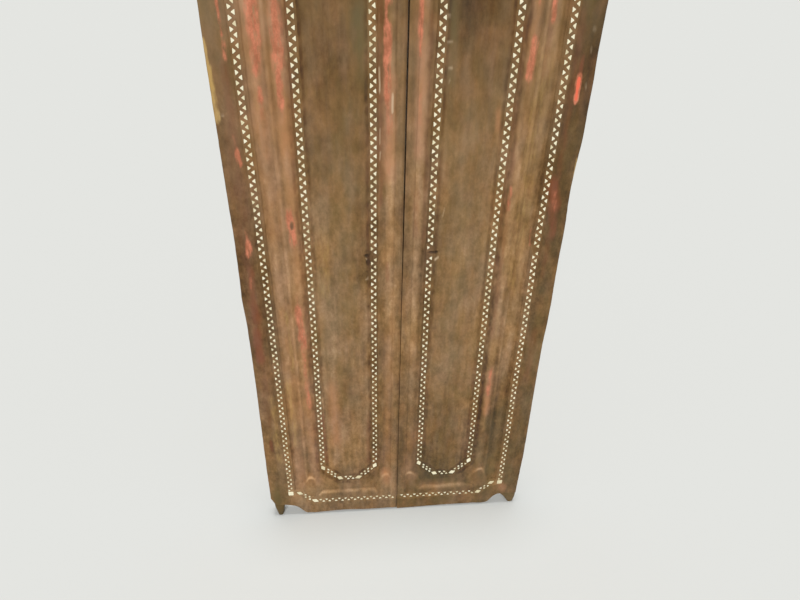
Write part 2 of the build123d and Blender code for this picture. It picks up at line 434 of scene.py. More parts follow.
# tone of the wood at some heights, by region
toning = {
    "left": {
        "outer": [
            (0, 0.42), (300, 0.46), (450, 0.46), (575, 0.38), (800, 0.29), (950, 0.3), (1200, 0.41),
            (1450, 0.45),
        ],
        "reeds": [
            (0, 0.53), (265, 0.54), (450, 0.64), (700, 0.71), (950, 0.66), (1200, 0.68), (1500, 0.73),
        ],
        "field": [(0, 0.47), (300, 0.54), (450, 0.58), (825, 0.63), (950, 0.55), (1250, 0.47), (1500, 0.4)],
        "inner": [(0, 0.4), (450, 0.4), (700, 0.5), (950, 0.51), (1200, 0.43), (1500, 0.33)],
        "seamReed": [
            (0, 0.58), (265, 0.58), (450, 0.51), (700, 0.75), (950, 0.7), (1200, 0.81), (1350, 0.76),
            (1500, 0.53),
        ],
        "strip": [(0, 0.5), (450, 0.5), (700, 0.6), (900, 0.5), (1500, 0.44)],
        "panelBed": [(250, -0.08), (500, -0.19), (825, -0.14), (1250, 0), (1450, 0.07)],
        "borderBed": 0.09,
    },
    "right": {
        "outer": [(0, 0.28), (265, 0.3), (450, 0.27), (700, 0.36), (950, 0.28), (1500, 0.25)],
        "reeds": [
            (0, 0.36), (265, 0.42), (400, 0.36), (480, 0.38), (700, 0.61), (950, 0.6), (1250, 0.6),
            (1500, 0.5),
        ],
        "field": [
            (0, 0.3), (200, 0.34), (300, 0.41), (420, 0.55), (600, 0.585), (1100, 0.6), (1300, 0.53),
            (1500, 0.3),
        ],
        "inner": [(0, 0.2), (265, 0.18), (450, 0.44), (700, 0.5), (950, 0.4), (1200, 0.52), (1500, 0.5)],
        "seamReed": [(0, 0.36), (330, 0.46), (600, 0.58), (900, 0.76), (1300, 0.79), (1500, 0.68)],
        "strip": [
            (0, 0.28), (265, 0.34), (450, 0.46), (700, 0.53), (950, 0.42), (1200, 0.44), (1500, 0.42),
        ],
        "panelBed": [(250, -0.12), (500, -0.2), (825, -0.1), (1250, -0.05), (1450, 0.05)],
        "borderBed": 0.15,
    },
}
toneNoise = [(0.03, 10, 230, 0), (0.05, 34, 90, 1), (0.05, 24, 42, 2), (0.055, 11, 22, 3)]
# crest paints a highlight on the lobe and rail crests, hollow paints shade and light by depth, scar paints
# shade in the pits, fringe darkens beside the rows
toneShares = {"crest": 0.56, "fringe": 0.15, "bed": 0.07, "rough": 0.055, "hollow": 0.045, "scar": 0.24}

# remains of paint and stains, with a few strokes of painted light and highlight among them, marked where they
# stand: across, up, to across, to up, half width, strength
stains = {
    "left": {
        "paint": [
            (26, 1640, 31.5, 1465, 2.8, 1), (33, 1444, 32, 1424, 4.5, 0.9),
            (31.5, 1222, 33.5, 1204, 5, 1.3), (27, 1262, 29, 1240, 3.5, 0.3),
            (92, 1650, 93, 1520, 13, 0.85), (93, 1530, 93, 1460, 11.5, 1.1), (92, 1470, 91, 1405, 8.5, 1),
            (92.5, 1352, 92.5, 1340, 5.5, 1), (91, 1316, 91, 1304, 6, 0.5),
            (136.5, 1650, 136, 1480, 10, 0.85), (135.5, 1490, 135.5, 1410, 11, 0.95),
            (135.5, 1420, 135, 1330, 7.5, 0.9), (360, 1650, 360, 1532, 6.5, 0.95),
            (355, 1530, 355, 1480, 3.4, 0.9), (358, 1478, 358.5, 1345, 7, 1.1),
            (360, 1345, 362, 1270, 8, 0.55), (133, 1066, 135, 1010, 9.5, 1), (129, 850, 132, 790, 4.5, 0.4),
            (132.5, 800, 135.5, 690, 9.5, 0.9), (136, 690, 138, 540, 8, 0.5),
            (138, 545, 139.5, 470, 7, 0.62), (26, 1035, 28, 1000, 4.5, 0.55), (28, 995, 27, 978, 7, 0.95),
            (24, 905, 22, 880, 3.5, 0.5),
        ],
        # the blush strokes at the lobe tops, 129 and 364 across near 160 up, are a painted pinkish highlight;
        # the others are a pinkish tint of the wood
        "blush": [
            (88, 1650, 92, 1230, 16, 0.62), (91, 1230, 92, 160, 15, 0.26), (134, 1650, 140, 1230, 14, 0.62),
            (139, 1230, 140, 160, 13, 0.45), (113, 1650, 113, 300, 8, 0.3),
            (361, 1370, 364, 1180, 11, 0.95), (366, 700, 366, 200, 12, 0.25), (364, 166, 366, 150, 13, 0.8),
            (129, 168, 130, 160, 14, 0.3), (93, 280, 95, 150, 16, 0.45), (208, 520, 212, 330, 14, 0.6),
        ],
        "ruddy": [
            (26, 924, 22, 842, 10, 0.7), (20, 827, 26, 786, 13, 0.8), (20, 734, 19.5, 655, 12, 0.95),
            (18, 332, 20, 304, 6, 0.6), (361, 931, 363, 893, 6, 0.5), (28, 1400, 30, 1260, 12, 0.45),
            (18, 1400, 14, 1180, 24, 0.2), (56, 1650, 56, 1150, 15, 0.3), (24, 1250, 22, 420, 22, 0.4),
            (342, 1650, 344, 1100, 8, 0.45), (158, 1650, 158, 1300, 6, 0.4), (176, 420, 178, 230, 7, 0.5),
            (310, 420, 308, 230, 9, 0.4),
        ],
        "ochre": [
            (-5.5, 1452, -4, 1385, 3.4, 0.95), (-3, 1395, -1, 1302, 6, 0.95), (86, 560, 90, 330, 14, 0.42),
            (36, 500, 36, 260, 12, 0.42), (206, 1000, 204, 870, 28, 0.36), (102, 790, 104, 600, 9, 0.4),
        ],
        "pale": [
            (341, 1505, 341, 1480, 1.4, 0.45), (341.5, 1403, 342, 1352, 1.5, 0.95),
            (343, 1275, 343, 1240, 1.4, 0.6), (344.5, 1222, 343.5, 1205, 1.4, 0.7),
            (369.5, 1345, 369.7, 1312, 2.2, 1.1), (308, 889, 314, 892, 2, 0.6),
            (309, 949, 311, 947, 1.7, 0.6), (8, 1307, 14, 1307, 1.8, 0.6), (90, 60, 390, 40, 55, 0.3),
        ],
        "olive": [
            (299, 1500, 302, 1390, 15, 0.7), (262, 1280, 262, 1120, 40, 0.4),
            (205, 860, 200, 700, 26, 0.35), (262, 1000, 250, 560, 34, 0.3), (14, 96, 16, 58, 16, 0.6),
            (12, 1640, 8, 1420, 26, 0.35), (24, 220, 22, 40, 22, 0.3),
        ],
        "dark": [
            (18, 332, 20, 304, 5, 0.34), (75, 312, 76, 280, 5, 0.16), (132, 270, 132, 240, 3.5, 0.18),
            (214, 188, 218, 180, 9, 0.14), (360, 1402, 360, 1398, 3, 0.3),
            (135.5, 1048, 135.5, 1043, 3.6, 0.8), (306, 985, 304, 900, 15, 0.12),
            (14, 100, 16, 56, 13, 0.1), (240, 1520, 246, 1400, 22, 0.07), (258, 1260, 262, 1150, 34, 0.05),
            (212, 84, 248, 14, 20, 0.1), (388, 620, 388, 480, 9, 0.08), (368, 620, 368, 480, 9, 0.06),
        ],
        # lighter tone, mostly patches of the wood; the strokes near 122 up over the lobes and at 377 across
        # by the seam reed are painted light that offsets shade
        "light": [
            (121, 1180, 121, 480, 6, 0.09), (377, 860, 377, 680, 9, 0.13), (60, 1240, 58, 960, 22, 0.05),
            (378, 1170, 378, 1000, 20, 0.07), (104, 122, 170, 122, 16, 0.11),
            (280, 122, 380, 122, 17, 0.13), (86, 34, 112, 20, 16, 0.1), (64, 82, 78, 76, 12, 0.1),
        ],
    },
    "right": {
        "paint": [
            (375.5, 1650, 375.5, 1470, 4.8, 1), (375, 1470, 374.5, 1430, 3.5, 0.75),
            (369, 1345, 369, 1290, 5, 0.38), (138, 1448, 139.4, 1392, 8, 0.95),
            (108.6, 1650, 105, 1500, 4.8, 1.05), (137, 1650, 138, 1530, 4.5, 0.6),
            (31, 1378, 30, 1340, 4.8, 1.9), (148, 1127, 147, 1077, 4.6, 0.65),
            (84.5, 1018, 82, 981, 3, 0.6), (140.6, 573, 138.4, 490, 7, 0.6), (42, 1112, 37, 1085, 8, 0.5),
        ],
        # the blush strokes at the lobe tops, 135 and 364 across near 160 up, and along the rail's top at 101
        # up are a painted pinkish highlight; the others are a pinkish tint of the wood
        "blush": [
            (139, 1650, 140, 1382, 10, 0.4), (374, 1650, 374, 1430, 10, 0.4),
            (370, 1440, 369, 1227, 10, 0.75), (138, 560, 137, 420, 8, 0.75), (54, 74, 46, 69, 9, 0.5),
            (135, 166, 150, 158, 12, 0.24), (364, 160, 350, 150, 12, 0.24), (250, 101, 320, 101, 8, 0.2),
            (108, 1650, 108, 1400, 8, 0.3), (350, 330, 365, 150, 20, 0.3), (196, 1305, 194, 1278, 5, 0.6),
        ],
        "ruddy": [
            (30, 1420, 30.5, 1392, 4.5, 0.7), (47, 1130, 36, 1090, 13, 1), (41, 1076, 29, 1015, 11, 0.7),
            (370, 1120, 370, 1020, 9, 0.45), (150, 1240, 148, 700, 8, 0.4), (250, 330, 240, 210, 30, 0.25),
            (30, 700, 30, 560, 14, 0.4), (44, 1500, 36, 900, 10, 0.4), (160, 1500, 160, 900, 6, 0.4),
            (354, 1500, 350, 1000, 8, 0.35), (240, 1560, 240, 1380, 50, 0.2),
        ],
        "ochre": [(2, 1200, 2, 1160, 3, 0.7), (112, 1440, 110, 880, 30, 0.36)],
        "pale": [
            (316, 1500, 324, 1500, 2.2, 0.5), (308, 1452, 318, 1450, 2.2, 0.5),
            (306, 1400, 312, 1399, 2.4, 0.55), (309, 1376, 311, 1372, 3, 0.5),
            (311, 947, 318, 942, 2.4, 0.85), (302, 1080, 306, 1060, 2.4, 0.5), (18, 1480, 14, 1478, 4, 0.4),
            (16, 1440, 15, 1436, 3.5, 0.4), (14, 1368, 13, 1362, 3.5, 0.4), (120, 40, 390, 20, 40, 0.16),
        ],
        "olive": [
            (26, 1650, 22, 1500, 22, 0.6), (24, 1250, 22, 60, 26, 0.3), (110, 330, 110, 60, 40, 0.45),
            (330, 330, 370, 60, 40, 0.3), (250, 1250, 250, 500, 60, 0.3), (310, 1520, 305, 1380, 9, 0.6),
            (220, 120, 330, 140, 20, 0.5), (98, 50, 128, 8, 18, 0.5), (40, 300, 36, 60, 30, 0.35),
            (160, 112, 210, 80, 18, 0.4), (215, 30, 270, 20, 20, 0.35), (240, 400, 250, 170, 40, 0.35),
        ],
        "dark": [
            (185, 300, 190, 215, 12, 0.12), (308, 1000, 306, 890, 26, 0.1), (322, 780, 318, 640, 26, 0.07),
            (250, 560, 250, 420, 40, 0.05), (190, 520, 192, 390, 13, 0.12), (318, 320, 312, 215, 14, 0.1),
            (110, 420, 112, 230, 9, 0.08), (10, 420, 12, 300, 9, 0.06), (175, 124, 325, 124, 11, 0.09),
            (240, 1540, 244, 1420, 40, 0.05), (120, 1180, 120, 680, 5, 0.07), (96, 1180, 96, 1020, 8, 0.1),
            (310, 640, 312, 470, 8, 0.09),
        ],
        # lighter tone, mostly patches of the wood; the stroke at 377 across by the seam reed is painted light
        # that offsets shade, and the narrow stroke at 95 up is a painted highlight along the rail's top
        "light": [
            (132, 1180, 132, 680, 8, 0.14), (106, 860, 106, 480, 9, 0.13), (377, 1180, 377, 680, 8, 0.12),
            (66, 1640, 62, 1380, 24, 0.09), (190, 1640, 186, 1470, 24, 0.09),
            (104, 1640, 100, 1500, 24, 0.06), (290, 78, 390, 78, 20, 0.13), (112, 120, 148, 118, 14, 0.09),
            (200, 95, 335, 95, 6, 0.27), (140, 26, 158, 24, 13, 0.12), (70, 80, 88, 76, 13, 0.11),
        ],
    },
}
stainNoise = [(1.6, 9, 14, 0), (1.2, 300, 30, 1)]


def noiseField(across, up, cellAcross, cellUp, seed):
    # smooth value noise on a stretched lattice, -1 to 1, with room around the leaf
    a = np.asarray(across) / cellAcross + 20 / cellAcross
    b = np.asarray(up) / cellUp + 20 / cellUp
    shape = (int(1960 / cellUp) + 4, int(460 / cellAcross) + 4)
    lattice = np.random.default_rng(seed).uniform(-1, 1, shape)
    i, j = np.floor(a).astype(int), np.floor(b).astype(int)
    s, t = a - i, b - j
    s, t = s * s * (3 - 2 * s), t * t * (3 - 2 * t)
    low = lattice[j, i] * (1 - s) + lattice[j, i + 1] * s
    high = lattice[j + 1, i] * (1 - s) + lattice[j + 1, i + 1] * s
    return low * (1 - t) + high * t


def layered(across, up, seed, layers):
    return sum(amount * noiseField(across, up, a, b, seed + step) for amount, a, b, step in layers)


def unit(value):
    return np.clip(value, 0, 1)


def softStep(value, width):
    t = unit(value / width + 0.5)
    return t * t * (3 - 2 * t)


def fold(up):
    return np.minimum(up, plank["height"] - up)


def lineThrough(points, x):
    return np.interp(x, *zip(*points))


def curveThrough(points, x):
    # smooth line through points given as (x, y), level beyond the ends
    px, py = np.array(points, float).T
    slope = np.gradient(py, px)
    i = np.clip(np.searchsorted(px, x) - 1, 0, len(px) - 2)
    span = px[i + 1] - px[i]
    t = unit((x - px[i]) / span)
    first = (2 * t ** 3 - 3 * t ** 2 + 1) * py[i] + (t ** 3 - 2 * t ** 2 + t) * span * slope[i]
    return first + (3 * t ** 2 - 2 * t ** 3) * py[i + 1] + (t ** 3 - t ** 2) * span * slope[i + 1]


def notchLine(across, side):
    return curveThrough(plank["notch"][side], across)


def fromStroke(across, up, ax, az, bx, bz):
    # way from the nearest point of a straight stroke, across and up
    length = math.hypot(bx - ax, bz - az)
    share = unit(((across - ax) * (bx - ax) + (up - az) * (bz - az)) / length ** 2)
    return across - ax - share * (bx - ax), up - az - share * (bz - az)


def borderGap(across, low, side):
    # distance inside the border row's middle line, negative outside it
    row, step, foot = carving["rowInset"][side], carving["borderStep"], carving["borderFoot"]
    shelf = row + carving["borderShelf"]
    bends = [(row, 2000.0), (row, step), (shelf, step), (shelf + step - foot, foot), (600.0, foot)]
    gap = np.full(across.shape, 1e6)
    for start, end in zip(bends, bends[1:]):
        gap = np.minimum(gap, np.hypot(*fromStroke(across, low, *start, *end)))
    line = lineThrough(bends[1:4], across)
    return np.where((across > row) & (low > line), gap, -gap)


def panelSides(side):
    outer = carving["rowInset"][side] + carving["panelSetback"]
    return outer, outer + carving["panelSpan"]


def panelGap(across, low, side):
    outer, inner = panelSides(side)
    rise = low - carving["panelFoot"] - carving["panelSlope"]
    slopes = [(across - outer + rise) / math.sqrt(2), (inner - across + rise) / math.sqrt(2)]
    return np.minimum.reduce([across - outer, inner - across, low - carving["panelFoot"]] + slopes)


def reedLines(side):
    row = carving["rowInset"][side]
    return [(row + setback, width) for setback, width in carving["reeds"]] + [carving["seamReed"]]


def rounded(gap, reach):
    # share of a quarter-round edge: 1 outside (gap over 0), 0 from reach inwards
    t = unit(1 + gap / reach)
    return 1 - np.sqrt(1 - t * t)


def zoneDepth(across, low, side):
    # the sunk moulding, which leaves the land, the cusped lobes and the rail's cushion standing, with a
    # painted highlight mask along their upper crests
    c = carving
    land = np.minimum(borderGap(across, low, side) - c["zoneMargin"], c["zoneEnd"] - across)
    depth = c["zoneDepth"] * rounded(land, c["landRim"])
    # painted highlight: lighter tone on the lobes' upper crests and on the rail's top edge only, where light
    # from above falls
    rim = np.zeros(across.shape)
    inset, width, least, more = c["lobeHighlight"]
    for middle, outward, inward in c["lobes"][side]:
        bow = np.where(across < middle, outward, inward)
        beside = np.abs(across - middle)
        gap = (low - c["lobePeak"] + beside ** 2 / bow) / np.sqrt(1 + (2 * beside / bow) ** 2)
        gap = np.maximum(gap, beside - np.sqrt(bow * c["lobeDrop"]) - 3)
        lobe = c["lobeFace"] + (c["zoneDepth"] - c["lobeFace"]) * rounded(gap, c["softRim"])
        tip = least + more * np.exp(-(beside / (0.8 * np.sqrt(bow * 10))) ** 2)
        crest = np.exp(-((gap + inset) / width) ** 2) * tip
        rim = np.maximum(rim, crest * (lobe <= depth) * softStep(low - 126, 24))
        depth = np.minimum(depth, lobe)
    start, corner, seed = c["rowInset"][side] + c["railSetback"], c["railCorner"], len(side)
    outX = np.maximum.reduce([start + corner - across, across - c["railEnd"] + corner, across * 0])
    crown = c["railTop"] + 1.6 * noiseField(across, low * 0, 55, 40, 15 + seed)
    outZ = np.maximum(low - crown + corner, 0)
    rail = np.hypot(outX, outZ) - corner
    cushion = c["zoneDepth"] * rounded(rail, c["railRim"])
    inset, width, least, more = c["railHighlight"]
    patchy = least + more * noiseField(across, low * 0, 30, 40, 5 + seed)
    crest = np.exp(-((rail + inset) / width) ** 2) * unit(outZ / 8) * patchy
    return np.minimum(depth, cushion), np.where(cushion < depth, crest, rim)


def carve(across, up, side):
    # depth of the carved front below the plank's face, and the masks of its regions
    c, low, seed = carving, fold(up), seeds[side]["carve"]
    shifted = across + layered(across, up, seed, c["wander"])
    depth, rim = zoneDepth(shifted, low, side)
    inZone = unit(depth / c["zoneDepth"])
    reedShape = np.zeros(across.shape)
    swayed = across + 0.8 * noiseField(across, up, 300, 160, seed + 2)
    whole, uneven, chipDepth, chipFrom = c["reedWear"]
    chips = chipDepth * unit(noiseField(across, up, 9, 45, seed + 4) - chipFrom)
    for number, (middle, width) in enumerate(reedLines(side)):
        t = (swayed - middle) / (width / 2)
        worn = whole + uneven * noiseField(across * 0 + 50 * number, up, 50, 130, seed + 3) - chips
        worn = worn * softStep(low - c["reedFoot"], 60)
        reedShape = np.maximum(reedShape, unit(1 - t * t) * worn)
    depth = depth - c["reedRise"] * reedShape * inZone
    panel = panelGap(shifted, low, side)
    channel = softStep(panel + c["channelHalf"], c["panelEdge"])
    field = softStep(panel - c["channelHalf"], c["panelEdge"])
    depth = depth * (1 - channel) + c["panelChannel"] * channel
    depth = depth * (1 - field) + c["panelDepth"] * field
    fromRow = np.abs(borderGap(shifted, low, side))
    border = softStep(c["channelHalf"] - fromRow, c["borderEdge"])
    depth = np.maximum(depth, c["borderDepth"] * border)
    bed = np.maximum(border, channel * (1 - field))
    # darker tone beside the rows: painted shade on the sunk field's edge, a darker band on the land
    beside = np.minimum(fromRow, np.abs(panel)) - c["channelHalf"]
    reach = np.where(panel > 0, unit((9 - beside) / 5), unit((13 - beside) / 7))
    fringe = reach * (1 - bed) * (0.75 + 0.6 * noiseField(across, up, 6, 12, seed + 10))
    weights, inward = c["fringes"], borderGap(across, low, side)
    share = np.where(across < np.mean(panelSides(side)), weights["panelOuter"], weights["panelInner"])
    share = np.where(panel > 0, weights["field"], share)
    share = np.where(np.abs(inward) < np.abs(panel), np.where(inward < 0, *weights["border"]), share)
    fringe = unit(fringe) * share
    # hand work and weather: broad hollows, grain ridges, small dents, and a rough bed between the shells
    dents = 1.1 * unit(noiseField(across, up, 14, 30, seed + 8) - 0.62)
    depth = depth + (layered(across, up, seed, c["weather"]) + dents) * (1 - bed)
    depth = depth + 0.28 * noiseField(across, up, 5, 7, seed + 9) * bed
    for middle, height, reachAcross, reachUp, deep in c["scars"][side]:
        spot = 1 - ((across - middle) / reachAcross) ** 2 - ((up - height) / reachUp) ** 2
        depth = depth + deep * softStep(spot - 0.35, 0.9)
    regions = {"zone": inZone, "reed": reedShape * inZone, "bed": bed, "field": field, "rim": rim}
    return depth, {**regions, "panel": channel, "fringe": fringe}


def stainMask(kind, across, up, side):
    jitter = layered(across, up, seeds[side]["stain"], stainNoise)
    total = np.zeros(across.shape)
    for *ends, half, strength in stains[side][kind]:
        beside, beyond = fromStroke(across + jitter * min(1, half / 6), up, *ends)
        total = np.maximum(total, strength * softStep(1 - np.hypot(beside, beyond * 0.45) / half, 2.0))
    return total


def toneMask(across, up, regions, side):
    def level(region):
        return lineThrough(toning[side][region], up)

    def laid(under, over, region):
        return under * (1 - regions[region]) + over * regions[region]

    seed, middle = seeds[side]["tone"], np.mean(panelSides(side))
    seamSide = across > middle
    flat = np.where(seamSide, level("inner"), level("reeds") - 0.05)
    crest = np.where(seamSide, level("seamReed"), level("reeds"))
    face = np.where(across > carving["zoneEnd"], level("strip"), level("outer"))
    tone = laid(laid(face, flat, "zone"), crest, "reed")
    lean = 0.05 * np.clip((middle - across) / 80, -1, 1) * unit((1400 - up) / 300)
    ground = level("field") + lean
    tone = laid(tone, ground, "field")
    bed = np.where(regions["panel"] > 0.5, ground + level("panelBed"), tone + toning[side]["borderBed"])
    tone = laid(tone, bed + toneShares["bed"] * noiseField(across, up, 4, 5, 211), "bed")
    # painted highlight on the lobe and rail crests; the fringe term darkens beside the rows
    tone = tone + toneShares["crest"] * regions["rim"] - toneShares["fringe"] * regions["fringe"]
    tone = tone + layered(across, up, seed, toneNoise)
    rough = toneShares["rough"] * regions["zone"] * (1 - regions["panel"])
    tone = tone + noiseField(across, up, 7, 13, seed + 6) * rough
    streaky = 0.035 + 0.03 * unit((1250 - up) / 300) * regions["field"]
    return tone + streaky * noiseField(across, up, 6, 75, seed + 4) * (1 - regions["bed"])


def smoothed(values, rounds):
    for turn in range(rounds):
        padded = np.pad(values, 1, mode="edge")
        values = (padded[:-2, 1:-1] + 2 * padded[1:-1, 1:-1] + padded[2:, 1:-1]) / 4
        padded = np.pad(values, 1, mode="edge")
        values = (padded[1:-1, :-2] + 2 * padded[1:-1, 1:-1] + padded[1:-1, 2:]) / 4
    return values


def filled(stops, step):
    stops = sorted(set(stops))
    line = [stops[0]]
    for low, high in zip(stops, stops[1:]):
        if high - low < 0.25:
            continue
        count = max(1, math.ceil((high - line[-1]) / step - 0.15))
        line += list(np.linspace(line[-1], high, count + 1)[1:])
    return np.array(line)


def columnLine(side):
    c, row, width = carving, carving["rowInset"][side], plank["width"]
    edges = [row + c["zoneMargin"], c["zoneEnd"]]
    for middle in (row, *panelSides(side)):
        edges += [middle - c["channelHalf"], middle + c["channelHalf"]]
    stops = [edge + way for edge in edges for way in (-1.2, 0, 1.2)]
    for middle, wide in reedLines(side):
        stops += [middle - wide / 2, middle, middle + wide / 2]
    stops += [0, 0.5, 1.2, 2.4, 98, 100, 101.2, 102.0, 102.3, width - 2.4, width - 1.2, width - 0.5, width]
    return filled(stops, plank["columnStep"])


def rowLine():
    height = plank["height"]
    fine = plank["fineRows"] + [(height - high, height - low) for low, high in plank["fineRows"]]
    stops = {0.0, height}
    for low, high in fine:
        stops |= set(np.linspace(low, high, round((high - low) / plank["fineRowStep"]) + 1).round(3))
    for end in (0.4, 1.1, 2.4):
        stops |= {end, height - end}
    return filled(stops, plank["rowStep"])


def rowStray(across, up, side):
    # shift of the carved layout, read between the rows and nil at the edges
    rows = plank["stray"][side]
    knots = [0.0] + [row[0] for row in rows] + [plank["width"]]
    shifts = [across * 0] + [curveThrough(row[1], up) for row in rows] + [across * 0]
    total = across * 0
    for (low, high), (first, last) in zip(zip(knots, knots[1:]), zip(shifts, shifts[1:])):
        share = (across - low) / (high - low)
        total = np.where((share >= 0) & (share <= 1), first * (1 - share) + last * share, total)
    return total


def edgeShift(across, up, side):
    # wear of the outer edge, fading towards the border row, and of the seam edge
    seed, still = seeds[side]["edge"], across * 0
    outer = curveThrough(plank["outerWear"][side], up) + layered(still, up, seed, plank["edgeNoise"])
    outer = outer + 1.6 * unit(noiseField(still, up, 50, 24, seed + 2) - 0.6)
    seam = lineThrough(plank["seamWear"], up) + 0.25 * np.abs(noiseField(still, up, 50, 35, seed + 3))
    near = unit(1 - across / 44)
    far = unit((across - (plank["width"] - 18)) / 18)
    return across + outer * near - seam * far + rowStray(across, up, side)


# pintles, by height from the tip: the sides across, the front and back from mid-thickness, and how square
pintles = {
    "heights": (0, 0.8, 2.6, 6, 11, 16, 22, 28, 34, 40, 46, 52, 58, 66),
    "left": {
        "outer": [(0, 12), (2.6, 9.2), (10, 7.6), (28, 4.6), (50, 0.6), (66, 1)],
        "inner": [(0, 23.5), (2.6, 26), (14, 27.8), (27, 30.2), (45, 33), (66, 34)],
        "front": [(0, -14), (2.6, -17.8), (10, -18.6), (46, -18.6), (54, -16), (66, -12)],
        "back": [(0, 6), (2.6, 9), (20, 10), (66, 15)],
        "square": [(0, 2.4), (10, 3), (46, 4), (66, 4)],
        "tone": 0.18,
    },
    "right": {
        "outer": [(0, 7), (2.6, 4), (12, 1.6), (40, -1.2), (66, 0.8)],
        "inner": [(0, 21.5), (2.6, 24), (8, 27), (19, 33), (31, 40.5), (40, 49), (45, 56), (66, 58)],
        "front": [(0, -14), (2.6, -17.8), (10, -18.6), (40, -18.6), (46, -17.6), (54, -13), (66, -12)],
        "back": [(0, 6), (2.6, 9), (20, 12), (40, 17.5), (66, 17.5)],
        "square": [(0, 2.4), (10, 3.2), (34, 6), (66, 8)],
        "tone": 0.3,
    },
}


def makePintle(side, atHead, verts, faces, tones):
    # hewn pin that stands in the notch, level with the carved face and rounded at its tip
    opts, way = pintles[side], sides[side]
    rng = np.random.default_rng(19 + way + 5 * atHead)
    heights = np.array(pintles["heights"], float)
    lines = [curveThrough(opts[key], heights) for key in ("outer", "inner", "front", "back", "square")]
    levels = plank["height"] + 2 * plank["drop"] - heights if atHead else heights
    around = np.linspace(0, 2 * np.pi, 40, endpoint=False)
    turnX, turnY = np.cos(around), np.sin(around)
    first, count = len(verts), len(around)
    after = [(step + 1) % count for step in range(count)]
    for up, low, high, near, far, power in zip(levels, *lines):
        swell = (np.abs(turnX) ** power + np.abs(turnY) ** power) ** (-1 / power)
        swell = swell + rng.uniform(-0.012, 0.012, count)
        x = way * (plank["half"] - (low + high) / 2) + (high - low) / 2 * turnX * swell
        y = (near + far) / 2 + (far - near) / 2 * turnY * swell
        verts.extend((a, b, up) for a, b in zip(x.tolist(), y.tolist()))
        tones.extend((opts["tone"] + 0.04 * rng.uniform(-1, 1, count)).tolist())
    for start in range(first, first + (len(heights) - 1) * count, count):
        for step in range(count):
            a, b = start + step, start + after[step]
            faces.append((a, b, b + count, a + count))
    for ring in (0, len(heights) - 1):
        start = first + ring * count
        verts.append((way * (plank["half"] - (lines[0][ring] + lines[1][ring]) / 2), 0, levels[ring]))
        tones.append(opts["tone"])
        for step in range(count):
            faces.append((len(verts) - 1, start + step, start + after[step]))


def carveFront(side):
    # net of the carved face: place across, depth, height, tone, the regions and the vertex numbers
    width, height, roll, squeeze = (plank[key] for key in ("width", "height", "edgeRoll", "squeeze"))
    across, run = np.meshgrid(columnLine(side), rowLine())
    low, foot = fold(run), notchLine(across, side)
    lifted = np.where(low < squeeze, foot + (squeeze - foot) * low / squeeze, low)
    up = np.where(run < height / 2, lifted, height - lifted)
    depth, regions = carve(across, up, side)
    rim = np.minimum.reduce([across, (width - across) * roll / plank["seamRoll"], lifted - foot])
    inside = np.clip(roll - rim, 0, roll)
    curl = roll - np.sqrt(np.maximum(roll ** 2 - inside ** 2, 0))
    depth = depth + curl * np.where(across > 380, 0.6, 1)
    tone = toneMask(across, up, regions, side)
    # painted shade and light: darker where the face lies deeper than its surroundings, lighter where it
    # stands proud
    tone = tone - toneShares["hollow"] * np.clip(depth - smoothed(depth, 14), -1.8, 2.2)
    tone = tone + plank["footTone"][side] * unit(1 - fold(up) / 60)
    # painted shade: the leaf darkens over its last millimetres by the seam
    tone = tone - carving["seamShade"][side] * unit((across - width + 8) / 6)
    # painted shade: darker tone inside the scar pits
    scarring = []
    for middle, level, reachAcross, reachUp, deep in carving["scars"][side]:
        scarring.append(((across - middle) / reachAcross) ** 2 + ((up - level) / reachUp) ** 2)
    tone = tone - toneShares["scar"] * softStep(0.9 - np.minimum.reduce(scarring) / 1.5 ** 2, 0.9)
    front = [values.ravel() for values in (edgeShift(across, up, side), depth, up, tone)]
    return front, regions, np.arange(across.size).reshape(across.shape)


